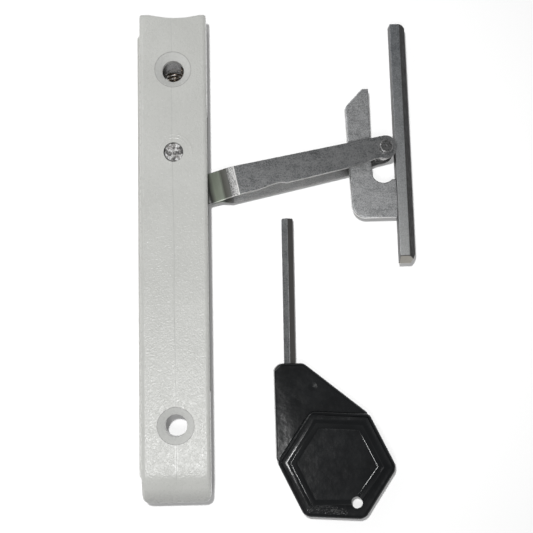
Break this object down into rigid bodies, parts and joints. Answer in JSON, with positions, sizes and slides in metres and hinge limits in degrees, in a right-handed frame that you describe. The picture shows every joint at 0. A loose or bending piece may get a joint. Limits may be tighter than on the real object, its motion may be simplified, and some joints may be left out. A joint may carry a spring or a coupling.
{
  "type": "window restrictor",
  "caption": "Cast housing with a sliding fork arm, a hook keeper on a bevelled rail, a stop plunger and a hexagon release key.",
  "frame": {"origin": "midway between the two fixing holes, on the back face of the housing that lies against the window", "axes": "+Z out of the back face towards the front of the housing, +Y along the housing towards the end with the plunger, +X towards the side where the arm swings out"},
  "size_m": [0.0736, 0.1322, 0.014],
  "materials": {
    "housing": "light grey stoved paint with a fine leather grain",
    "back_plate": "zinc-plated mild steel, dull",
    "track_plate": "zinc-plated mild steel, dull",
    "closing_rivets": "bright steel",
    "slider_channel": "zinc-plated mild steel, dull",
    "slider_shoe": "natural acetal",
    "shoe_rivets": "bright steel",
    "pivot_pin": "bright steel",
    "pivot_bush": "zinc-plated mild steel, dull",
    "arm_top_plate": "zinc-plated mild steel, dull",
    "arm_bottom_plate": "zinc-plated mild steel, dull",
    "roller_pin": "zinc-plated mild steel, dull",
    "roller": "bright steel",
    "hook_plate": "zinc-plated mild steel, dull",
    "keeper_rail": "zinc-plated mild steel, dull",
    "stop_plunger": "bright steel",
    "plunger_leaf": "drawn spring wire",
    "leaf_rivet": "bright steel",
    "return_spring": "drawn spring wire",
    "key_grip": "black moulded plastic",
    "key_shaft": "dark hexagon steel"
  },
  "bodies": {
    "housing": {"housing": "housing", "back_plate": "back_plate", "track_plate": "track_plate", "closing_rivets": "closing_rivets", "plunger_leaf": "plunger_leaf", "leaf_rivet": "leaf_rivet", "return_spring": "return_spring"},
    "slider": {"slider_channel": "slider_channel", "slider_shoe": "slider_shoe", "shoe_rivets": "shoe_rivets", "pivot_pin": "pivot_pin"},
    "arm": {"arm_top_plate": "arm_top_plate", "arm_bottom_plate": "arm_bottom_plate", "pivot_bush": "pivot_bush", "roller_pin": "roller_pin"},
    "roller": {"roller": "roller"},
    "keeper": {"hook_plate": "hook_plate", "keeper_rail": "keeper_rail"},
    "plunger": {"stop_plunger": "stop_plunger"},
    "key": {"key_grip": "key_grip", "key_shaft": "key_shaft"}
  },
  "joints": [
    {"name": "slider_travel", "type": "slide", "parent": "housing", "child": "slider", "axis": [0, -1, 0], "range_m": [0, 0.0389], "deforming": ["return_spring"]},
    {"name": "arm_swing", "type": "hinge", "parent": "slider", "child": "arm", "pos_m": [0.0046, 0.0146, 0], "axis": [0, 0, 1], "range_deg": [0, 61.2]},
    {"name": "roller_turn", "type": "hinge", "parent": "arm", "child": "roller", "pos_m": [0.05572, 0.02565, 0], "axis": [0, 0, 1], "range_deg": [-61.2, 0]},
    {"name": "keeper_slide", "type": "slide", "parent": "roller", "child": "keeper", "axis": [-0.0175, 0.9998, 0], "range_m": [-0.0175, 0.0058]},
    {"name": "plunger_press", "type": "slide", "parent": "housing", "child": "plunger", "axis": [0, 0, -1], "range_m": [0, 0.0024], "stiffness_N_per_m": 800, "springref_m": -0.001, "deforming": ["plunger_leaf"]},
    {"name": "key_lift", "type": "slide", "parent": "housing", "child": "key", "axis": [0, 0, 1], "range_m": [0, 0.06]}
  ],
  "couplings": [
    {"joint": "arm_swing", "follows": "slider_travel", "rad_per_m": 27.369},
    {"joint": "roller_turn", "follows": "slider_travel", "rad_per_m": -27.369}
  ]
}
